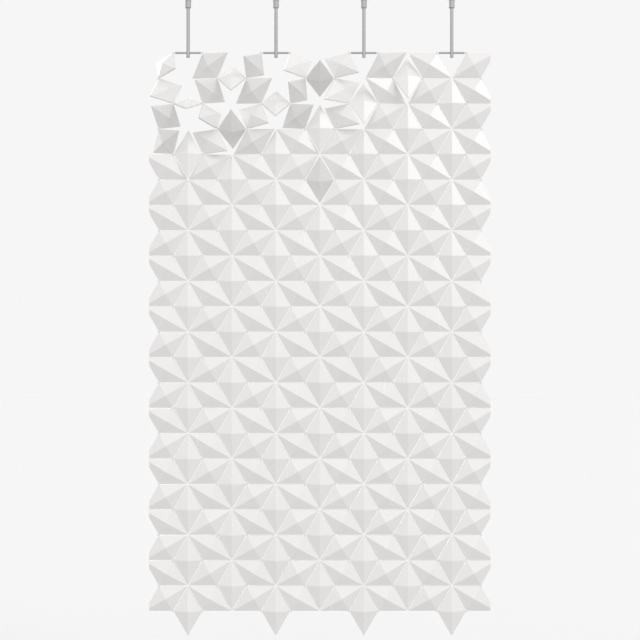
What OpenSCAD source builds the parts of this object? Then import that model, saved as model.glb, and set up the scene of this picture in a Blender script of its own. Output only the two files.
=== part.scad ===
// Hanging room divider: a net of turnable white facets in a six-pointed star tiling,
// hung from the ceiling on four tubes. Millimetres, +Z up, front face towards -Y.
// The origin lies on the ceiling surface, over the middle column, in the panel's middle plane.

/* [Tiling] */
// Distance between neighbouring columns of stars
column_pitch = 170; // [150:1:200]
// Number of star columns, with a hanger over every second one
columns = 7; // [5:2:9]
// Number of upright facets in each column
rows = 11; // [6:1:12]
// Length that is trimmed off the outer facets beyond the outer columns
side_trim = 20; // [12:1:28]
// Open joint between the edges of neighbouring facets
facet_gap = 2.4; // [1.6:0.1:4]

/* [Facet] */
// Height of a facet's point over its middle plane
facet_rise = 19.3; // [15:0.1:26]
// Thickness of the moulded wall, at the rim and under the point
facet_wall = 1.6; // [1.2:0.1:2.2]
// Height of the rim band on each half
facet_rim = 3; // [1:0.1:4]
// Open seam between a facet's two halves
seam = 0.1; // [0.06:0.01:0.3]
// Distance from a star's centre to the blunt ends of its facets
tip_cut = 3.6; // [3:0.1:9]
// Length of the solid seat round the axle at each end
seat_length = 6; // [4:0.5:10]

/* [Net] */
// Diameter of an axle rod
axle_d = 3; // [2.5:0.1:3.6]
// Diameter of a three-way hub
hub_d = 11; // [10:0.1:13]
// Thickness of a hub, front to back
hub_thickness = 7; // [5.5:0.1:8]
// Depth of the sockets that take the axle rods
socket_depth = 3; // [2:0.1:3.2]
// Free space between a hub and the ends of the facets round it
hub_space = 0.6; // [0.4:0.1:1.5]

/* [Hangers] */
// Distance from the ceiling down to the cross bars' axis
bar_drop = 216; // [90:1:600]
// Diameter of a cross bar
bar_d = 8; // [6:0.1:9]
// Free space between a cross bar's shoulders and the hubs at its ends
bar_space = 2.2; // [0.6:0.1:8]
// Outer diameter of a drop tube
tube_d = 14; // [13:0.1:16]
// Wall of a drop tube
tube_wall = 1.5; // [1:0.1:2]
// Length of the tube below the cross bar's axis
tube_tail = 16; // [14:0.5:30]
// Length of the end plug inside the tube
plug_length = 9; // [4:0.5:9]
// Thickness of the end plug's rim
plug_rim = 2; // [1:0.1:4]
// Distance that the end plug's rim stands out past the tube
plug_lip = 0.5; // [0.1:0.1:2]
// Wall of a ceiling sleeve round the tube
sleeve_wall = 4.4; // [3:0.1:6]
// Length of a ceiling sleeve below its plate
sleeve_length = 37.5; // [26:0.5:60]
// Depth of the sleeve's socket for the tube
sleeve_socket = 25; // [18:0.5:25]
// Diameter of the sleeve's spigot in the plate
spigot_d = 12; // [8:0.1:14]
// Diameter of a sleeve's grub screw
grub_d = 4; // [3:0.5:5]
// Distance from the sleeve's lower end up to the grub screw's axis
grub_height = 15; // [8:0.5:16]
// Diameter of a ceiling plate
plate_d = 60; // [56:1:90]
// Thickness of a ceiling plate
plate_thickness = 5; // [3:0.5:8]
// Number of screw holes in a ceiling plate
plate_holes = 3; // [2:1:6]
// Circle that the screw holes lie on
plate_pcd = 44; // [38:1:46]
// Diameter of a screw hole
screw_d = 4.5; // [3:0.1:5]
// Diameter of a screw hole's countersink
countersink_d = 8.5; // [6:0.1:9]

/* [Fits] */
// Radial running clearance of everything that turns or slides on its mate
running = 0.05; // [0.02:0.01:0.1]

/* [Hidden] */
$fn = 48;

// The star tiling: a facet is a rhombus of 60 and 120 degrees
star_angle = 60;
row_pitch = column_pitch / sin(star_angle);
half_row = row_pitch / 2;
long_half = half_row;
side_length = row_pitch / 2 / cos(star_angle / 2);
short_half = side_length / 2;
levels = 2 * rows;
bar_z = -bar_drop;
middle_column = (columns - 1) / 2;
trim_reach = column_pitch / 2 - side_trim;
far = 4 * row_pitch;

// The facet's section across two opposite edges
edge_half = side_length * sin(star_angle) / 2 - facet_gap / 2;
slope = (facet_rise - facet_rim) / edge_half;
inner_half = edge_half - facet_wall;
inner_rise = facet_rise - facet_wall / cos(atan(slope));
seat_end = short_half - hub_d / 2 - hub_space;
tip_end = long_half - tip_cut;

// The net: rods and the cross bars' pins run from socket to socket
rod_length = 2 * (short_half - hub_d / 2 + socket_depth);
bar_length = 2 * (short_half - hub_d / 2 - bar_space);

// The hangers
sleeve_d = tube_d + 2 * running + 2 * sleeve_wall;
sleeve_bottom = -plate_thickness - sleeve_length;
tube_top = sleeve_bottom + sleeve_socket;
tube_bottom = bar_z - tube_tail;
grub_z = sleeve_bottom + grub_height;
countersink_depth = (countersink_d - screw_d) / 2;

// Levels count down from the cross bars in steps of half a row. The facets of the top four
// levels turn on their own joints. Each entry below is [column, level, angle] of an upright
// facet, or [gap, level, angle] of a slanted one, with gap -1 left of the first column.
turning_levels = 4;
upright_turns = [
    [1, 1, 52], [3, 1, -53], [5, 1, 27],
    [0, 2, 70], [2, 2, 52], [4, 2, 29],
    [1, 3, -46], [3, 3, 7],
    [0, 4, 10],
    [3, 5, -26],
];
slanted_turns = [
    [-1, 0, -57], [0, 0, -30], [1, 0, 66], [2, 0, 50], [3, 0, -39], [4, 0, -20],
    [-1, 1, 49], [0, 1, 52], [1, 1, -30], [2, 1, 66], [3, 1, 33], [4, 1, 18],
    [-1, 2, 56], [0, 2, 65], [1, 2, -44], [2, 2, -43], [3, 2, -38],
    [-1, 3, -46], [0, 3, -31], [1, 3, -17],
];

function column_x(c) = (c - middle_column) * column_pitch;
function level_z(n) = bar_z - half_row * n;
function first_level(c) = c % 2 == 0 ? 2 : 1;
function is_even(n) = n % 2 == 0;
function turn_of(turns, f) =
    let (found = [for (t = turns) if (t[0] == f[0] && t[1] == f[1]) t[2]])
    len(found) > 0 ? found[0] : 0;
function listed(turns, f) = len([for (t = turns) if (t[0] == f[0] && t[1] == f[1]) 1]) > 0;
function upright_turning(f) = f[1] <= turning_levels || listed(upright_turns, f);
function slanted_turning(f) = f[1] < turning_levels;
function upright_name(f) = str("upright_facet_", f[0] + 1, "_", ceil(f[1] / 2));
function slanted_name(f) = str("slanted_facet_", f[0] + 2, "_", f[1] + 1);
// Angle of a facet's long diagonal: slanted facets rise and fall by turns down each gap
function slant(f) = (is_even(f[0] + f[1]) ? 1 : -1) * star_angle / 2;

uprights = [for (c = [0:columns - 1]) for (k = [0:rows - 1]) [c, first_level(c) + 2 * k]];
slanteds = [for (g = [-1:columns - 1]) for (j = [0:levels - 1]) [g, j]];
turning_uprights = [for (f = uprights) if (upright_turning(f)) f];
turning_slanteds = [for (f = slanteds) if (slanted_turning(f)) f];
closed_uprights = [for (f = uprights) if (!upright_turning(f)) f];
closed_slanteds = [for (f = slanteds) if (!slanted_turning(f)) f];

facet_white = [0.93, 0.93, 0.92];
net_white = [0.86, 0.86, 0.85];
metal_grey = [0.68, 0.68, 0.69];
steel_grey = [0.55, 0.55, 0.57];

// Stands the panel's plane up: x stays, y becomes up, z becomes the front
module stand() {
    rotate([90, 0, 0]) children();
}

module over_each_hanger() {
    for (c = [0:2:columns - 1]) translate([column_x(c), 0, 0]) children();
}

// ---- Hangers ----

module ceiling_plates() {
    color(metal_grey) over_each_hanger() difference() {
        translate([0, 0, -plate_thickness]) cylinder(d = plate_d, h = plate_thickness);
        translate([0, 0, -2 * plate_thickness])
            cylinder(d = spigot_d + 2 * running, h = 3 * plate_thickness);
        for (i = [0:plate_holes - 1]) rotate([0, 0, 90 + i * 360 / plate_holes])
            translate([plate_pcd / 2, 0, 0]) {
                translate([0, 0, -2 * plate_thickness]) cylinder(d = screw_d, h = 3 * plate_thickness);
                translate([0, 0, -plate_thickness])
                    cylinder(d1 = countersink_d, d2 = screw_d, h = countersink_depth);
            }
    }
}

module ceiling_sleeves() {
    color(metal_grey) over_each_hanger() difference() {
        union() {
            translate([0, 0, sleeve_bottom]) cylinder(d = sleeve_d, h = sleeve_length);
            translate([0, 0, -plate_thickness - 1]) cylinder(d = spigot_d, h = plate_thickness + 1);
        }
        translate([0, 0, sleeve_bottom - 1])
            cylinder(d = tube_d + 2 * running, h = sleeve_socket + 1);
        translate([0, 0, grub_z]) rotate([-90, 0, 0])
            cylinder(d = grub_d + 2 * running, h = sleeve_d);
    }
}

module sleeve_grub_screws() {
    color(steel_grey) over_each_hanger()
        translate([0, tube_d / 2 + running, grub_z]) rotate([-90, 0, 0])
            cylinder(d = grub_d, h = (sleeve_d - tube_d) / 2 - 2 * running);
}

module drop_tubes() {
    color(metal_grey) over_each_hanger() difference() {
        translate([0, 0, tube_bottom]) cylinder(d = tube_d, h = tube_top - tube_bottom);
        translate([0, 0, tube_bottom - 1])
            cylinder(d = tube_d - 2 * tube_wall, h = tube_top - tube_bottom + 2);
        translate([0, 0, bar_z]) rotate([0, 90, 0])
            cylinder(d = bar_d + 2 * running, h = 2 * tube_d, center = true);
    }
}

module tube_end_plugs() {
    color(metal_grey) over_each_hanger() {
        translate([0, 0, tube_bottom - plug_rim]) cylinder(d = tube_d + 2 * plug_lip, h = plug_rim);
        translate([0, 0, tube_bottom - plug_rim / 2])
            cylinder(d = tube_d - 2 * tube_wall - 2 * running, h = plug_length + plug_rim / 2);
    }
}

module cross_bars() {
    color(metal_grey) over_each_hanger() translate([0, 0, bar_z]) rotate([0, 90, 0]) {
        cylinder(d = bar_d, h = bar_length, center = true);
        cylinder(d = axle_d, h = rod_length, center = true);
    }
}

// ---- Net of hubs and axle rods ----

module hub() {
    difference() {
        cylinder(d = hub_d, h = hub_thickness, center = true);
        for (arm = [0:2]) rotate([0, 0, 180 + arm * 120])
            translate([hub_d / 2 - socket_depth, 0, 0]) rotate([0, 90, 0])
                cylinder(d = axle_d + 2 * running, h = socket_depth + 1);
    }
}

// One hub at each level of each gap, nearer the left column and the right one by turns
module net_hubs() {
    color(net_white) stand() for (g = [-1:columns - 1]) for (n = [0:levels]) {
        near_left = is_even(g + n);
        translate([column_x(g) + column_pitch * (near_left ? 1 : 2) / 3, level_z(n), 0])
            rotate([0, 0, near_left ? 0 : 180]) hub();
    }
}

module axle_rods() {
    color(net_white) stand() {
        for (f = uprights) place_upright(f) axle_rod();
        for (f = slanteds) place_slanted(f) axle_rod();
    }
}

// Along the facet's short diagonal
module axle_rod() {
    rotate([90, 0, 0]) cylinder(d = axle_d, h = rod_length, center = true);
}

// ---- Facets: long diagonal along x, short diagonal along y, front towards z ----

module place_upright(f) {
    translate([column_x(f[0]), level_z(f[1]), 0]) rotate([0, 0, 90]) children();
}

module place_slanted(f) {
    translate([column_x(f[0] + 0.5), level_z(f[1] + 0.5), 0]) rotate([0, 0, slant(f)]) children();
}

// A roof over two opposite edges, with its ridge between them
module gable(half_width, band, top, below) {
    rotate([90, 0, 0]) linear_extrude(height = 2 * side_length, center = true)
        polygon([[-half_width, -below], [half_width, -below], [half_width, band],
                 [0, top], [-half_width, band]]);
}

// Two crossed roofs meet in a four-sided point over the rhombus
module point_form(half_width, band, top, below) {
    intersection() {
        rotate([0, 0, star_angle]) gable(half_width, band, top, below);
        rotate([0, 0, -star_angle]) gable(half_width, band, top, below);
    }
}

// Keeps what lies inside the panel's trimmed side. side is -1, 0 or 1; angle is the facet's slant
module trimmed(side, angle, reach) {
    if (side == 0) children();
    else intersection() {
        children();
        rotate([0, 0, -angle]) translate([side * (reach - far / 2), 0, 0])
            cube([far, far, far], center = true);
    }
}

// The hollow half of a facet, over its middle plane
module half_shell(side = 0, angle = 0) {
    difference() {
        trimmed(side, angle, trim_reach) intersection() {
            point_form(edge_half, facet_rim, facet_rise, -seam / 2);
            cube([2 * tip_end, 2 * seat_end, far], center = true);
        }
        trimmed(side, angle, trim_reach - facet_wall) intersection() {
            point_form(inner_half, 0, inner_rise, facet_wall);
            cube([2 * (tip_end - facet_wall), 2 * (seat_end - seat_length), far], center = true);
        }
        rotate([90, 0, 0]) cylinder(d = axle_d + 2 * running, h = far, center = true);
    }
}

module back_half(side = 0, angle = 0) {
    mirror([0, 0, 1]) half_shell(side, angle);
}

// The panel's straight sides trim the outer facets, but for those that stand turned
function side_of(f) = turn_of(slanted_turns, f) != 0 ? 0
    : f[0] < 0 ? -1 : f[0] == columns - 1 ? 1 : 0;

module closed_upright_fronts() {
    color(facet_white) stand() for (f = closed_uprights) place_upright(f) half_shell();
}

module closed_upright_backs() {
    color(facet_white) stand() for (f = closed_uprights) place_upright(f) back_half();
}

module closed_slanted_fronts() {
    color(facet_white) stand() for (f = closed_slanteds)
        place_slanted(f) half_shell(side_of(f), slant(f));
}

module closed_slanted_backs() {
    color(facet_white) stand() for (f = closed_slanteds)
        place_slanted(f) back_half(side_of(f), slant(f));
}

// A positive angle turns the end of the long diagonal that points right or up to the back
module turning_upright(f) {
    color(facet_white) stand() place_upright(f) rotate([0, turn_of(upright_turns, f), 0]) {
        half_shell();
        back_half();
    }
}

module turning_slanted(f) {
    color(facet_white) stand() place_slanted(f) rotate([0, turn_of(slanted_turns, f), 0]) {
        half_shell(side_of(f), slant(f));
        back_half(side_of(f), slant(f));
    }
}

ceiling_plates();
ceiling_sleeves();
sleeve_grub_screws();
drop_tubes();
tube_end_plugs();
cross_bars();
net_hubs();
axle_rods();
closed_upright_fronts();
closed_upright_backs();
closed_slanted_fronts();
closed_slanted_backs();
for (f = turning_uprights) turning_upright(f);
for (f = turning_slanteds) turning_slanted(f);
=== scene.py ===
# Looks of the hanging room divider panel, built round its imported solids.
# Metres, +Z up, front towards -Y, origin on the ceiling over the middle column of stars.
import math

import bmesh
import bpy
from mathutils import Matrix, Vector


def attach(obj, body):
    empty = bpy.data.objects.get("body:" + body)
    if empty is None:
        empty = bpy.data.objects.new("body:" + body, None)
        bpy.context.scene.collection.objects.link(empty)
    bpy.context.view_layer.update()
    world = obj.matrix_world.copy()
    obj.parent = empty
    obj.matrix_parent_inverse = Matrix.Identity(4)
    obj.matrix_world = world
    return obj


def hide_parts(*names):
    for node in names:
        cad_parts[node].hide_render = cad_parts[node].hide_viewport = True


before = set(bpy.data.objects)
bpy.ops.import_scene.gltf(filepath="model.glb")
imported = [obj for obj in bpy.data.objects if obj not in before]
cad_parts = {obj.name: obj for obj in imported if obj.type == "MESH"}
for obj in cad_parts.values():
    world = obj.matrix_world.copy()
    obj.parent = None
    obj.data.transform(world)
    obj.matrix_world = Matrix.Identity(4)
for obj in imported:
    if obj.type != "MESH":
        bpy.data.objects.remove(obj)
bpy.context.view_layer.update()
scene = bpy.context.scene
mm = 0.001
print("solids loaded:", len(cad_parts), "nodes")

# The star tiling, as the solids have it. Levels count down from the cross bars, in half rows.
tiling = {
    "columns": 7,
    "rows": 11,
    "pitch": 170 * mm,        # between columns of stars
    "barDrop": 216 * mm,      # ceiling to the cross bars' axis
    "sideTrim": 20 * mm,      # taken off the outer facets' points
    "turningLevels": 4,       # the levels at the top where every facet can turn
    "starAngle": 60,          # degrees between the points of a star
}
halfRow = tiling["pitch"] / math.sin(math.radians(tiling["starAngle"])) / 2
shortHalf = halfRow / math.cos(math.radians(tiling["starAngle"] / 2)) / 2
levels = 2 * tiling["rows"]
lastColumn = tiling["columns"] - 1

# Degrees that facets stand at: (column, level) of an upright one, (gap, level) of a slanted one
uprightTurns = {
    (1, 1): 52, (3, 1): -53, (5, 1): 27,
    (0, 2): 70, (2, 2): 52, (4, 2): 29,
    (1, 3): -46, (3, 3): 7,
    (0, 4): 10,
    (3, 5): -26,
}
slantedTurns = {
    (-1, 0): -57, (0, 0): -30, (1, 0): 66, (2, 0): 50, (3, 0): -39, (4, 0): -20,
    (-1, 1): 49, (0, 1): 52, (1, 1): -30, (2, 1): 66, (3, 1): 33, (4, 1): 18,
    (-1, 2): 56, (0, 2): 65, (1, 2): -44, (2, 2): -43, (3, 2): -38,
    (-1, 3): -46, (0, 3): -31, (1, 3): -17,
}


def columnX(column):
    return (column - lastColumn / 2) * tiling["pitch"]


def levelZ(level):
    return -tiling["barDrop"] - halfRow * level


def uprightPlaces():
    return [(column, 2 - column % 2 + 2 * row)
            for column in range(tiling["columns"]) for row in range(tiling["rows"])]


def slantedPlaces():
    return [(gap, level) for gap in range(-1, tiling["columns"]) for level in range(levels)]


# A socket that Python's own operators work on
class Value:
    def __init__(self, nodes, socket):
        self.nodes = nodes
        self.socket = socket

    def maths(self, operation, first, second):
        return self.nodes.add("ShaderNodeMath", {"operation": operation}, {0: first, 1: second})

    def __add__(self, other):
        return self.maths("ADD", self, other)

    def __radd__(self, other):
        return self.maths("ADD", other, self)

    def __sub__(self, other):
        return self.maths("SUBTRACT", self, other)

    def __rsub__(self, other):
        return self.maths("SUBTRACT", other, self)

    def __mul__(self, other):
        return self.maths("MULTIPLY", self, other)

    def __rmul__(self, other):
        return self.maths("MULTIPLY", other, self)


class Nodes:
    def __init__(self, tree):
        self.tree = tree

    # A socket by its number or name, or the first one in use
    def find(self, sockets, key):
        if isinstance(key, int):
            return sockets[key]
        return next(s for s in sockets if s.enabled and key in (None, s.name))

    # Adds a node, sets it up, gives its sockets values or links, and hands back one output
    def add(self, kind, settings=None, inputs=None, output=None):
        node = self.tree.nodes.new(kind)
        for name, setting in (settings or {}).items():
            setattr(node, name, setting)
        for key, given in (inputs or {}).items():
            socket = self.find(node.inputs, key)
            for one in given if isinstance(given, list) else [given]:
                if isinstance(one, Value):
                    self.tree.links.new(one.socket, socket)
                else:
                    socket.default_value = one
        return Value(self, self.find(node.outputs, output)) if len(node.outputs) else None


def newMaterial(name):
    material = bpy.data.materials.new(name)
    material.use_nodes = True
    material.node_tree.nodes.clear()
    return material, Nodes(material.node_tree)


def finishSurface(nodes, inputs):
    surface = nodes.add("ShaderNodeBsdfPrincipled", None, inputs)
    nodes.add("ShaderNodeOutputMaterial", None, {"Surface": surface})


def noise(nodes, scale, detail=2.0, stretch=None):
    where = nodes.add("ShaderNodeTexCoord", None, None, "Object")
    if stretch:
        where = nodes.add("ShaderNodeMapping", None, {"Vector": where, "Scale": stretch})
    inputs = {"Vector": where, "Scale": scale, "Detail": detail}
    return nodes.add("ShaderNodeTexNoise", None, inputs)


def between(nodes, amount, dark, light):
    inputs = {"Factor": amount, "A": dark, "B": light}
    return nodes.add("ShaderNodeMix", {"data_type": "RGBA"}, inputs)


def bump(nodes, height, strength, depth):
    inputs = {"Height": height, "Strength": strength, "Distance": depth}
    return nodes.add("ShaderNodeBump", None, inputs)


noiseMiddle = 0.5             # of the values that a noise gives

# In the finishes, a share is of the way from dark to light, and a sway is a change of roughness
facetFinish = {
    "light": (0.892, 0.877, 0.862, 1),
    "dark": (0.852, 0.837, 0.820, 1),
    "cloudScale": 9.0,        # slow change of shade over a moulding
    "cloudDetail": 3.0,
    "cloudShare": 0.4,
    "cloudSway": 0.06,
    "flowScale": 60.0,        # faint flow marks
    "flowDetail": 4.0,
    "flowStretch": (1, 1, 0.25),
    "flowShare": 0.1,
    "flowSway": 0.04,
    "flowHeight": 0.6,        # where the grain's is 1
    "batchShare": 0.5,        # each facet's own tone
    "grainScale": 1500.0,     # fine spark-eroded mould texture
    "grainStrength": 0.35,
    "grainDepth": 0.04 * mm,
    "roughness": 0.26,
    "gloss": 0.9,             # specular level
}


def mouldedFacetPlastic():
    look = facetFinish
    material, nodes = newMaterial("mouldedFacetPlastic")
    cloud = noise(nodes, look["cloudScale"], look["cloudDetail"])
    flow = noise(nodes, look["flowScale"], look["flowDetail"], look["flowStretch"])
    batch = nodes.add("ShaderNodeAttribute", {"attribute_name": "tone"}, None, "Fac")
    grain = noise(nodes, look["grainScale"])
    shade = look["cloudShare"] * cloud + look["flowShare"] * flow + look["batchShare"] * batch
    height = grain + look["flowHeight"] * flow
    finishSurface(nodes, {
        "Base Color": between(nodes, shade, look["dark"], look["light"]),
        "Roughness": (look["roughness"] + look["cloudSway"] * (cloud - noiseMiddle)
                      + look["flowSway"] * (flow - noiseMiddle)),
        "Specular IOR Level": look["gloss"],
        "Normal": bump(nodes, height, look["grainStrength"], look["grainDepth"]),
    })
    return material


hubFinish = {
    "light": (0.910, 0.900, 0.888, 1),
    "dark": (0.870, 0.858, 0.845, 1),
    "cloudScale": 30.0,
    "cloudSway": 0.08,
    "grainScale": 2200.0,
    "grainStrength": 0.3,
    "grainDepth": 0.04 * mm,
    "roughness": 0.5,
}


def mouldedHubPlastic():
    look = hubFinish
    material, nodes = newMaterial("mouldedHubPlastic")
    cloud = noise(nodes, look["cloudScale"])
    grain = noise(nodes, look["grainScale"])
    finishSurface(nodes, {
        "Base Color": between(nodes, cloud, look["dark"], look["light"]),
        "Roughness": look["roughness"] + look["cloudSway"] * (cloud - noiseMiddle),
        "Normal": bump(nodes, grain, look["grainStrength"], look["grainDepth"]),
    })
    return material


metalFinish = {
    "light": (0.415, 0.414, 0.414, 1),
    "dark": (0.350, 0.349, 0.349, 1),
    "cloudScale": 14.0,
    "lineScale": 1400.0,      # fine lines from drawing or turning
    "lineStretch": 0.02,      # how slowly they change along the metal
    "lineDepth": 0.03 * mm,
    "roughness": 0.40,
}
screwFinish = {
    "light": (0.36, 0.36, 0.37, 1),
    "dark": (0.26, 0.26, 0.27, 1),
    "cloudScale": 60.0,
    "lineScale": 3000.0,
    "lineStretch": 0.3,
    "lineDepth": 0.02 * mm,
    "roughness": 0.32,
}


satin = {
    "lineShare": 0.5,
    "lineSway": 0.1,
    "lineStrength": 0.25,
    "cloudDetail": 3.0,
    "cloudShare": 0.5,
    "cloudSway": 0.06,
}


# lengthwise is the axis that the metal was drawn or turned along: 0, 1 or 2
def satinMetal(name, look, lengthwise):
    material, nodes = newMaterial(name)
    stretch = [1, 1, 1]
    stretch[lengthwise] = look["lineStretch"]
    lines = noise(nodes, look["lineScale"], stretch=tuple(stretch))
    cloud = noise(nodes, look["cloudScale"], satin["cloudDetail"])
    shade = satin["lineShare"] * lines + satin["cloudShare"] * cloud
    finishSurface(nodes, {
        "Base Color": between(nodes, shade, look["dark"], look["light"]),
        "Metallic": 1.0,
        "Roughness": (look["roughness"] + satin["lineSway"] * (lines - noiseMiddle)
                      + satin["cloudSway"] * (cloud - noiseMiddle)),
        "Normal": bump(nodes, lines, satin["lineStrength"], look["lineDepth"]),
    })
    return material


facetPlastic = mouldedFacetPlastic()
hubPlastic = mouldedHubPlastic()
uprightMetal = satinMetal("drawnUprightMetal", metalFinish, 2)
crosswiseMetal = satinMetal("drawnCrosswiseMetal", metalFinish, 0)
screwSteel = satinMetal("turnedScrewSteel", screwFinish, 1)
print("materials made")


# Sets copies of the masters out over the star tiling. Each point says its column and level, which
# master it takes, and how far that spins in the panel's plane. Each copy gets a tone of its own.
def tilingTree(masterCount):
    tree = bpy.data.node_groups.new("starTiling", "GeometryNodeTree")
    nodes = Nodes(tree)
    wanted = [("Points", "Geometry"), ("Column Pitch", "Float"), ("Level Height", "Float"),
              ("Drop", "Float"), ("Finish", "Material"), ("Seed", "Int")]
    wanted += [(f"Master {number}", "Object") for number in range(masterCount)]
    for name, kind in wanted:
        tree.interface.new_socket(name, in_out="INPUT", socket_type="NodeSocket" + kind)
    tree.interface.new_socket("Copies", in_out="OUTPUT", socket_type="NodeSocketGeometry")
    inputs = nodes.add("NodeGroupInput").socket.node

    def given(name):
        return Value(nodes, inputs.outputs[name])

    def written(name, kind="FLOAT"):
        return nodes.add("GeometryNodeInputNamedAttribute", {"data_type": kind}, {"Name": name})

    place = nodes.add("ShaderNodeCombineXYZ", None, {
        "X": written("column") * given("Column Pitch"),
        "Z": 0 - (given("Drop") + written("level") * given("Level Height")),
    })
    points = nodes.add("GeometryNodeSetPosition", None,
                       {"Geometry": given("Points"), "Position": place})
    spin = nodes.add("ShaderNodeCombineXYZ", None, {"Y": written("spin")})
    copies = []
    for number in range(masterCount):
        chosen = nodes.add("FunctionNodeCompare", {"data_type": "INT", "operation": "EQUAL"},
                           {"A": written("form", "INT"), "B": number})
        master = nodes.add("GeometryNodeObjectInfo", {"transform_space": "ORIGINAL"},
                           {"Object": given(f"Master {number}"), "As Instance": True}, "Geometry")
        copies.append(nodes.add("GeometryNodeInstanceOnPoints", None, {
            "Points": points, "Selection": chosen, "Instance": master, "Rotation": spin}))
    together = nodes.add("GeometryNodeJoinGeometry", None, {"Geometry": copies})
    tone = nodes.add("FunctionNodeRandomValue", {"data_type": "FLOAT"}, {
        "ID": nodes.add("GeometryNodeInputIndex"), "Seed": given("Seed")})
    toned = nodes.add("GeometryNodeStoreNamedAttribute",
                      {"data_type": "FLOAT", "domain": "INSTANCE"},
                      {"Geometry": together, "Name": "tone", "Value": tone})
    real = nodes.add("GeometryNodeRealizeInstances", None, {"Geometry": toned})
    finished = nodes.add("GeometryNodeSetMaterial", None,
                         {"Geometry": real, "Material": given("Finish")})
    nodes.add("NodeGroupOutput", None, {"Copies": finished})
    return tree


def newObject(name, data):
    thing = bpy.data.objects.new(name, data)
    scene.collection.objects.link(thing)
    return thing


def meshFrom(bm, name):
    mesh = bpy.data.meshes.new(name)
    bm.to_mesh(mesh)
    bm.free()
    return mesh


# The mesh as its modifiers leave it
def evaluatedMesh(thing):
    bpy.context.view_layer.update()
    graph = bpy.context.evaluated_depsgraph_get()
    return bpy.data.meshes.new_from_object(thing.evaluated_get(graph))


# places is a list of (column, level, spin in degrees, number of the master)
def setOut(name, masters, places, drop, finish, seed):
    points = bpy.data.meshes.new(name)
    points.from_pydata([(0, 0, 0)] * len(places), [], [])
    columns, levelsDown, spins, forms = zip(*places)
    for attribute, kind, values in (
            ("column", "FLOAT", [column - lastColumn / 2 for column in columns]),
            ("level", "FLOAT", levelsDown),
            ("spin", "FLOAT", [math.radians(spin) for spin in spins]),
            ("form", "INT", forms)):
        points.attributes.new(attribute, kind, "POINT").data.foreach_set("value", values)
    piece = newObject(name, points)
    tree = tilingTree(len(masters))
    modifier = piece.modifiers.new("starTiling", "NODES")
    modifier.node_group = tree
    inputs = {"Column Pitch": tiling["pitch"], "Level Height": halfRow, "Drop": drop,
              "Finish": finish, "Seed": seed}
    stands = [newObject(f"{name}Master{number}", master) for number, master in enumerate(masters)]
    inputs.update({f"Master {number}": stand for number, stand in enumerate(stands)})
    for socket in tree.interface.items_tree:
        if socket.name in inputs:
            modifier[socket.identifier] = inputs[socket.name]
    mesh = evaluatedMesh(piece)
    piece.modifiers.remove(modifier)
    for stand in stands:
        bpy.data.objects.remove(stand)
    piece.data = mesh
    print(f"{name}: {len(places)} copies of {len(masters)} masters, {len(mesh.polygons)} faces")
    return piece


def settle(piece, body, node):
    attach(piece, body)
    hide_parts(node)


hub = {
    "d": 11 * mm,
    "thickness": 7 * mm,
    "edge": 0.8 * mm,         # broken edge round each face
    "socketD": 3.1 * mm,
    "socketDepth": 3 * mm,
    "sides": 12,
    "socketSides": 6,
    "arms": (60, 180, 300),   # degrees that its three sockets point to
}
facet = {
    "rise": 19.3 * mm,        # height of the point over the middle plane
    "rim": 3.0 * mm,          # rim band on each half
    "seam": 0.1 * mm,         # open seam between the halves
    "gap": 2.4 * mm,          # open joint between neighbours
    "tipCut": 3.6 * mm,       # from the middle of a star to a blunt end
    "hubSpace": 0.6 * mm,     # between a hub and a blunt corner
    "ridgeEdge": 0.7 * mm,    # broken edges: along the ridges,
    "rimEdge": 0.3 * mm,      # round the rim,
    "seamEdge": 0.25 * mm,    # and along the seam
    "rimAngle": 40,           # degrees that faces turn by at the rim, at least
}
halfStar = math.radians(tiling["starAngle"] / 2)
edgeHalf = shortHalf * math.sin(2 * halfStar) - facet["gap"] / 2
longReach = edgeHalf / math.sin(halfStar)
shortReach = edgeHalf / math.cos(halfStar)
tipEnd = halfRow - facet["tipCut"]
seatEnd = shortHalf - hub["d"] / 2 - facet["hubSpace"]
trimReach = tiling["pitch"] / 2 - tiling["sideTrim"]
tiny = 0.001 * mm


def cutAway(bm, normal, reach):
    everything = bm.verts[:] + bm.edges[:] + bm.faces[:]
    cut = bmesh.ops.bisect_plane(bm, geom=everything, dist=tiny / 10, plane_co=normal * reach,
                                 plane_no=normal, clear_outer=True)["geom_cut"]
    bmesh.ops.edgeloop_fill(bm, edges=[e for e in cut if isinstance(e, bmesh.types.BMEdge)])


def breakEdges(bm, size, test):
    bmesh.ops.bevel(bm, geom=[e for e in bm.edges if test(e)], offset=size, offset_type="OFFSET",
                    segments=1, profile=0.5, affect="EDGES", clamp_overlap=True)


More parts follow.
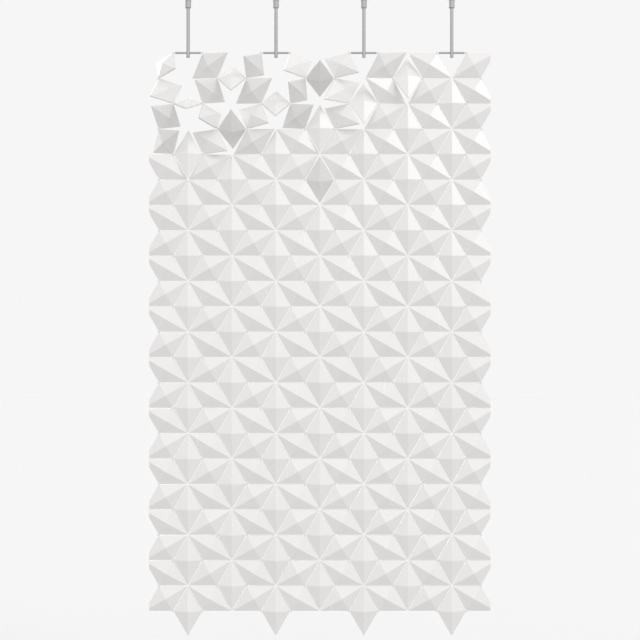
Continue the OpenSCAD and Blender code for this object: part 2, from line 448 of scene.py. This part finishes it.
# Half a facet: long diagonal along X, short one along Z, point towards the front. slant is that of
# a facet which the panel's right side trims.
def facetHalf(slant=None, back=False):
    bm = bmesh.new()
    corners = [(longReach, 0), (0, shortReach), (-longReach, 0), (0, -shortReach)]
    middle = -facet["seam"] / 2
    apex = Vector((0, -facet["rise"], 0))
    low = [bm.verts.new((x, middle, z)) for x, z in corners]
    high = [bm.verts.new((x, -facet["rim"], z)) for x, z in corners]
    point = bm.verts.new(apex)
    bm.faces.new(low)
    for i in range(len(corners)):
        j = (i + 1) % len(corners)
        bm.faces.new([low[j], low[i], high[i], high[j]])
        bm.faces.new([high[j], high[i], point])
    bmesh.ops.recalc_face_normals(bm, faces=bm.faces[:])
    for side in (-1, 1):
        cutAway(bm, Vector((side, 0, 0)), tipEnd)
        cutAway(bm, Vector((0, 0, side)), seatEnd)
    if slant is not None:
        turned = math.radians(slant)
        cutAway(bm, Vector((math.cos(turned), 0, -math.sin(turned))), trimReach)
    breakEdges(bm, facet["seamEdge"], lambda e: all(abs(v.co.y - middle) < tiny for v in e.verts))
    breakEdges(bm, facet["ridgeEdge"], lambda e: any((v.co - apex).length < tiny for v in e.verts))
    sharp, pastSeam = math.radians(facet["rimAngle"]), -2 * facet["seamEdge"]
    breakEdges(bm, facet["rimEdge"], lambda e: e.is_manifold and e.calc_face_angle() > sharp
               and all(v.co.y < pastSeam for v in e.verts))
    if back:
        bmesh.ops.scale(bm, vec=(1, -1, 1), verts=bm.verts)
    bmesh.ops.recalc_face_normals(bm, faces=bm.faces[:])
    return meshFrom(bm, "facetHalf")


slants = (None, tiling["starAngle"] / 2, -tiling["starAngle"] / 2)
frontHalves = [facetHalf(slant) for slant in slants]
backHalves = [facetHalf(slant, back=True) for slant in slants]
print("facet half:", len(frontHalves[0].polygons), "faces")


# A slanted facet's lie, and the number of its half. A left side is a right side turned about.
def slantedForm(place):
    gap, level = place
    slant = slants[1] if (gap + level) % 2 == 0 else slants[2]
    if place in slantedTurns or 0 <= gap < lastColumn:
        return slant, 0
    return slant + (180 if gap < 0 else 0), slants.index(slant)


uprightSlant = 90
turningUprights = [place for place in uprightPlaces()
                   if place[1] <= tiling["turningLevels"] or place in uprightTurns]
turningSlanteds = [place for place in slantedPlaces() if place[1] < tiling["turningLevels"]]
closedUprights = [(column, level, -uprightSlant, 0) for column, level in uprightPlaces()
                  if (column, level) not in turningUprights]
closedSlanteds = []
for gap, level in slantedPlaces():
    if (gap, level) not in turningSlanteds:
        slant, form = slantedForm((gap, level))
        closedSlanteds.append((gap + 0.5, level + 0.5, -slant, form))

for name, halves, places, node, seed in (
        ("closedUprightFronts", frontHalves, closedUprights, "closed_upright_fronts", 11),
        ("closedUprightBacks", backHalves, closedUprights, "closed_upright_backs", 12),
        ("closedSlantedFronts", frontHalves, closedSlanteds, "closed_slanted_fronts", 13),
        ("closedSlantedBacks", backHalves, closedSlanteds, "closed_slanted_backs", 14)):
    piece = setOut(name, halves, places, tiling["barDrop"], facetPlastic, seed)
    settle(piece, "panel", node)


# A facet that turns: both halves in one piece, at the angle that it stands at
def turningFacet(node, column, level, slant, form, angle):
    bm = bmesh.new()
    bm.from_mesh(frontHalves[form])
    bm.from_mesh(backHalves[form])
    place = Matrix.Translation((columnX(column), 0, levelZ(level)))
    lie = Matrix.Rotation(math.radians(-slant), 4, "Y")
    turn = Matrix.Rotation(math.radians(angle), 4, "Z")
    bmesh.ops.transform(bm, matrix=place @ lie @ turn, verts=bm.verts)
    mesh = meshFrom(bm, node)
    mesh.materials.append(facetPlastic)
    # Between 0 and 1, and changes from facet to facet
    tone = (7 * column + 3 * level) % 10 / 10
    tones = mesh.attributes.new("tone", "FLOAT", "POINT").data
    tones.foreach_set("value", [tone] * len(mesh.vertices))
    settle(newObject(node.replace("_facet_", "Turning_"), mesh), node, node)


for column, level in turningUprights:
    node = f"upright_facet_{column + 1}_{math.ceil(level / 2)}"
    turningFacet(node, column, level, uprightSlant, 0, uprightTurns.get((column, level), 0))
for gap, level in turningSlanteds:
    slant, form = slantedForm((gap, level))
    node = f"slanted_facet_{gap + 2}_{level + 1}"
    turningFacet(node, gap + 0.5, level + 0.5, slant, form, slantedTurns.get((gap, level), 0))
print("turning facets:", len(turningUprights) + len(turningSlanteds))


# Turns a profile of (radius, height) points about an axis: 0, 1 or 2. It is closed by flat ends, or
# by going back to where it starts if it is a ring.
def lathe(profile, sides, axis=2, ring=False):
    bm = bmesh.new()
    angles = [2 * math.pi * i / sides for i in range(sides)]
    steps = [(math.cos(angle), math.sin(angle)) for angle in angles]
    rings = [[bm.verts.new((radius * x, radius * y, height)) for x, y in steps]
             for radius, height in profile]
    pairs = list(zip(rings, rings[1:]))
    if ring:
        pairs.append((rings[-1], rings[0]))
    else:
        bm.faces.new(rings[0])
        bm.faces.new(rings[-1])
    for below, above in pairs:
        for i in range(sides):
            j = (i + 1) % sides
            bm.faces.new([below[i], below[j], above[j], above[i]])
    bmesh.ops.recalc_face_normals(bm, faces=bm.faces[:])
    if axis == 0:
        bmesh.ops.rotate(bm, matrix=Matrix.Rotation(math.pi / 2, 3, "Y"), verts=bm.verts)
    elif axis == 1:
        bmesh.ops.rotate(bm, matrix=Matrix.Rotation(-math.pi / 2, 3, "X"), verts=bm.verts)
    return bm


def movedBy(bm, offset):
    bmesh.ops.translate(bm, vec=offset, verts=bm.verts)
    return bm


# A whole profile from its first half, on a piece that is the same either way
def mirrored(side):
    return side + [(radius, -height) for radius, height in reversed(side)]


# The mesh of a turned piece, with the drills' shapes cut out of it. Faces that meet at less than
# smoothUnder degrees are shaded as one.
def drilled(blank, drills=(), smoothUnder=40):
    body = newObject("blank", meshFrom(blank, "blank"))
    tools = [newObject("drill", meshFrom(drill, "drill")) for drill in drills]
    for tool in tools:
        cut = body.modifiers.new("drill", "BOOLEAN")
        cut.operation = "DIFFERENCE"
        cut.solver = "EXACT"
        cut.object = tool
    mesh = evaluatedMesh(body)
    for thing in [body, *tools]:
        bpy.data.objects.remove(thing)
    mesh.polygons.foreach_set("use_smooth", [True] * len(mesh.polygons))
    mesh.set_sharp_from_angle(angle=math.radians(smoothUnder))
    return mesh


def hubMesh():
    half, radius, edge = hub["thickness"] / 2, hub["d"] / 2, hub["edge"]
    socketRadius, socketEnd = hub["socketD"] / 2, radius - hub["socketDepth"]
    drills = []
    for arm in hub["arms"]:
        drill = lathe([(socketRadius, socketEnd), (socketRadius, 2 * radius)],
                      hub["socketSides"], axis=0)
        spin = Matrix.Rotation(math.radians(-arm), 3, "Y")
        bmesh.ops.rotate(drill, matrix=spin, verts=drill.verts)
        drills.append(drill)
    side = [(radius - edge, -half), (radius, -half + edge)]
    return drilled(lathe(mirrored(side), hub["sides"], axis=1), drills, smoothUnder=35)


hubPlaces = []
for gap in range(-1, tiling["columns"]):
    for level in range(levels + 1):
        nearLeft = (gap + level) % 2 == 0
        hubPlaces.append((gap + (1 if nearLeft else 2) / 3, level, 0 if nearLeft else 180, 0))
netHubs = setOut("netHubs", [hubMesh()], hubPlaces, tiling["barDrop"], hubPlastic, seed=21)
settle(netHubs, "panel", "net_hubs")

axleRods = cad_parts["axle_rods"]
axleRods.data.materials.clear()
axleRods.data.materials.append(crosswiseMetal)

# A tube hangs over every other column of stars
hangerPlaces = [(column, 0, 0, 0) for column in range(0, tiling["columns"], 2)]
roundSides = 48
running = 0.05 * mm           # clearance all round of what slides or turns

tube = {
    "d": 14 * mm,
    "wall": 1.5 * mm,
    "tail": 16 * mm,          # below the cross bar's axis
    "edge": 0.25 * mm,
}
bar = {
    "d": 8 * mm,
    "space": 2.2 * mm,        # between its shoulder and the hub
    "pinD": 3 * mm,
    "edge": 0.5 * mm,
}
tubeRadius = tube["d"] / 2
tubeBottom = -tiling["barDrop"] - tube["tail"]


def crossBarMesh():
    shoulder = shortHalf - hub["d"] / 2 - bar["space"]
    pinEnd = shortHalf - hub["d"] / 2 + hub["socketDepth"]
    radius, pin, edge = bar["d"] / 2, bar["pinD"] / 2, bar["edge"]
    side = [(pin - edge / 2, -pinEnd), (pin, -pinEnd + edge / 2), (pin, -shoulder),
            (radius - edge, -shoulder), (radius - edge / 4, -shoulder + edge / 2),
            (radius, -shoulder + 1.5 * edge)]
    return drilled(lathe(mirrored(side), roundSides, axis=0))


crossBars = setOut("crossBars", [crossBarMesh()], hangerPlaces, tiling["barDrop"], crosswiseMetal,
                   seed=31)
settle(crossBars, "panel", "cross_bars")

plate = {
    "d": 60 * mm,
    "thickness": 5 * mm,
    "edge": 0.9 * mm,
    "screwCircle": 44 * mm,
    "screwAngles": (90, 210, 330),
    "screwD": 4.5 * mm,
    "sinkD": 8.5 * mm,        # countersink
}
sleeve = {
    "wall": 4.4 * mm,
    "length": 37.5 * mm,
    "socket": 25 * mm,        # how far the tube goes in
    "spigotD": 12 * mm,       # in the plate's middle hole
    "edge": 0.4 * mm,
}
grub = {
    "d": 4 * mm,
    "height": 15 * mm,        # over the sleeve's lower end
    "pitch": 0.7 * mm,
    "threadDepth": 0.3 * mm,
    "keyD": 2.3 * mm,         # hexagon socket
    "keyDepth": 1.6 * mm,
    "keySides": 6,
}
plug = {
    "length": 9 * mm,
    "rim": 2 * mm,
    "lip": 0.5 * mm,          # how far the rim stands out past the tube
    "groove": 0.3 * mm,
    "edge": 0.9 * mm,
}
sleeveRadius = tubeRadius + running + sleeve["wall"]
sleeveBottom = -plate["thickness"] - sleeve["length"]
tubeTop = sleeveBottom + sleeve["socket"]
grubZ = sleeveBottom + grub["height"]
spigotRadius = sleeve["spigotD"] / 2


def ceilingPlateMesh():
    radius, low, edge = plate["d"] / 2, -plate["thickness"], plate["edge"]
    hole = spigotRadius + running
    blank = lathe([(hole, low), (radius - 2 * edge, low), (radius - edge / 2, low + edge / 4),
                   (radius, low + edge), (radius, -edge / 3), (radius - edge / 3, 0), (hole, 0)],
                  roundSides, ring=True)
    screw, sink, past = plate["screwD"] / 2, plate["sinkD"] / 2, plate["edge"]
    drills = []
    across = Vector((plate["screwCircle"] / 2, 0, 0))
    for angle in plate["screwAngles"]:
        drill = lathe([(sink + past, low - past), (screw, low + sink - screw), (screw, past)],
                      roundSides // 2)
        drills.append(movedBy(drill, Matrix.Rotation(math.radians(angle), 3, "Z") @ across))
    return drilled(blank, drills)


def ceilingSleeveMesh():
    radius, low, top, edge = sleeveRadius, sleeveBottom, -plate["thickness"], sleeve["edge"]
    bore, seat = tubeRadius + running, sleeveBottom + sleeve["socket"]
    blank = lathe([(spigotRadius - edge, 0), (spigotRadius, -edge), (spigotRadius, top),
                   (radius - edge, top), (radius, top - edge), (radius, low + edge),
                   (radius - edge, low), (bore + edge, low), (bore, low + edge), (bore, seat)],
                  roundSides)
    holeRadius = grub["d"] / 2 + running
    hole = lathe([(holeRadius, 0), (holeRadius, 2 * radius)], roundSides // 2, axis=1)
    return drilled(blank, [movedBy(hole, (0, 0, grubZ))])


def grubScrewMesh():
    start, end = tubeRadius + running, sleeveRadius - running
    crest, pitch, depth = grub["d"] / 2, grub["pitch"], grub["threadDepth"]
    profile = [(crest - 2 * depth, start)]
    turns = int((end - start - pitch / 2) / pitch)
    for turn in range(turns):
        height = start + pitch / 2 + turn * pitch
        profile += [(crest - depth, height), (crest, height + pitch / 2)]
    profile += [(crest - depth, start + pitch / 2 + turns * pitch), (crest - 1.5 * depth, end)]
    keyRadius = grub["keyD"] / 2
    key = lathe([(keyRadius, end - grub["keyDepth"]), (keyRadius, 2 * end)],
                grub["keySides"], axis=1)
    return drilled(movedBy(lathe(profile, roundSides // 2, axis=1), (0, 0, grubZ)),
                   [movedBy(key, (0, 0, grubZ))], smoothUnder=50)


def dropTubeMesh():
    radius, bore, edge = tubeRadius, tubeRadius - tube["wall"], tube["edge"]
    blank = lathe([(bore, tubeBottom), (radius - edge, tubeBottom), (radius, tubeBottom + edge),
                   (radius, tubeTop - edge), (radius - edge, tubeTop), (bore, tubeTop)],
                  roundSides, ring=True)
    holeRadius = bar["d"] / 2 + running
    hole = lathe([(holeRadius, -2 * radius), (holeRadius, 2 * radius)], roundSides, axis=0)
    return drilled(blank, [movedBy(hole, (0, 0, -tiling["barDrop"]))])


def endPlugMesh():
    low, top = tubeBottom - plug["rim"], tubeBottom + plug["length"]
    radius, edge, groove = tubeRadius + plug["lip"], plug["edge"], plug["groove"]
    stem = tubeRadius - tube["wall"] - running
    return drilled(lathe([(radius - edge, low), (radius - edge / 3, low + edge / 3),
                          (radius, low + edge), (radius, tubeBottom - groove),
                          (radius - groove, tubeBottom), (stem, tubeBottom), (stem, top - edge),
                          (stem - edge, top)], roundSides))


hangerLook = (uprightMetal, "hanger_metal")
screwLook = (screwSteel, "screw_steel")
for name, mesh, (finish, slot), node, seed in (
        ("ceilingPlates", ceilingPlateMesh(), hangerLook, "ceiling_plates", 32),
        ("ceilingSleeves", ceilingSleeveMesh(), hangerLook, "ceiling_sleeves", 33),
        ("grubScrews", grubScrewMesh(), screwLook, "sleeve_grub_screws", 34),
        ("dropTubes", dropTubeMesh(), hangerLook, "drop_tubes", 35),
        ("tubeEndPlugs", endPlugMesh(), hangerLook, "tube_end_plugs", 36)):
    settle(setOut(name, [mesh], hangerPlaces, 0, finish, seed), "hangers", node)

studio = {
    "floorZ": -3.2,
    "floorSize": 60.0,
    "floorSeen": 0.902,       # how pale the floor looks
    "floorBounce": 0.50,      # how much of the light it throws back up
    "floorRoughness": 0.9,
    "backdrop": 0.9216,       # what shows past the floor
    "surround": 0.69,         # light from all round
}
# Size, azimuth and height are in degrees. A large lamp's shadows are soft. Azimuth is to the right
# of the camera, and height is over the horizon.
lamps = {
    "keyLight": {"strength": 0.47, "size": 26, "azimuth": 46, "height": 32},
    "fillLight": {"strength": 0.49, "size": 80, "azimuth": -25, "height": 40},
    "sideLight": {"strength": 0.55, "size": 100, "azimuth": 50, "height": 15},
    "backLight": {"strength": 1.2, "size": 60, "azimuth": 215, "height": 12},
}


# 1 for what the camera sees, also by way of metal or glass, and 0 for light that falls on things
def isSeen(nodes):
    camera, glossy, clear = (nodes.add("ShaderNodeLightPath", None, None, kind)
                             for kind in ("Is Camera Ray", "Is Glossy Ray", "Is Transmission Ray"))
    return camera.maths("MAXIMUM", camera, camera.maths("MAXIMUM", glossy, clear))


def layFloor():
    bm = bmesh.new()
    bmesh.ops.create_grid(bm, x_segments=1, y_segments=1, size=studio["floorSize"] / 2)
    floor = newObject("floor", meshFrom(movedBy(bm, (0, 0, studio["floorZ"])), "floor"))
    material, nodes = newMaterial("floorPaint")
    shade = studio["floorBounce"] + isSeen(nodes) * (studio["floorSeen"] - studio["floorBounce"])
    paint = nodes.add("ShaderNodeCombineColor", None, {"Red": shade, "Green": shade, "Blue": shade})
    finishSurface(nodes, {"Base Color": paint, "Roughness": studio["floorRoughness"],
                          "Specular IOR Level": 0.0})
    floor.data.materials.append(material)


def surroundWithLight():
    world = bpy.data.worlds.new("studio")
    scene.world = world
    world.use_nodes = True
    world.node_tree.nodes.clear()
    nodes = Nodes(world.node_tree)
    strength = studio["surround"] + isSeen(nodes) * (studio["backdrop"] - studio["surround"])
    background = nodes.add("ShaderNodeBackground", None,
                           {"Strength": strength, "Color": (1, 1, 1, 1)})
    nodes.add("ShaderNodeOutputWorld", None, {"Surface": background})


def hangLamp(name, lamp):
    data = bpy.data.lights.new(name, "SUN")
    data.energy = lamp["strength"]
    data.angle = math.radians(lamp["size"])
    azimuth, height = math.radians(lamp["azimuth"]), math.radians(lamp["height"])
    outward = math.cos(height)
    towards = Vector((math.sin(azimuth) * outward, -math.cos(azimuth) * outward, math.sin(height)))
    newObject(name, data).rotation_euler = towards.to_track_quat("Z", "Y").to_euler()


view = {
    "distance": 5.0,          # in front of the panel's plane
    "across": 0.0007,         # to the right of the middle column
    "height": -1.2495,        # below the ceiling
    "focalPixels": 1292.0,
    "framePixels": 640,
    "sensor": 36.0,           # millimetres
}


def placeCamera():
    data = bpy.data.cameras.new("photoView")
    data.sensor_width = view["sensor"]
    data.lens = view["sensor"] * view["focalPixels"] / view["framePixels"]
    camera = newObject("photoView", data)
    camera.location = (view["across"], -view["distance"], view["height"])
    camera.rotation_euler = (math.pi / 2, 0, 0)
    scene.camera = camera


layFloor()
surroundWithLight()
for name, lamp in lamps.items():
    hangLamp(name, lamp)
placeCamera()
scene.view_settings.view_transform = "Standard"
print("floor, lamps and camera set")
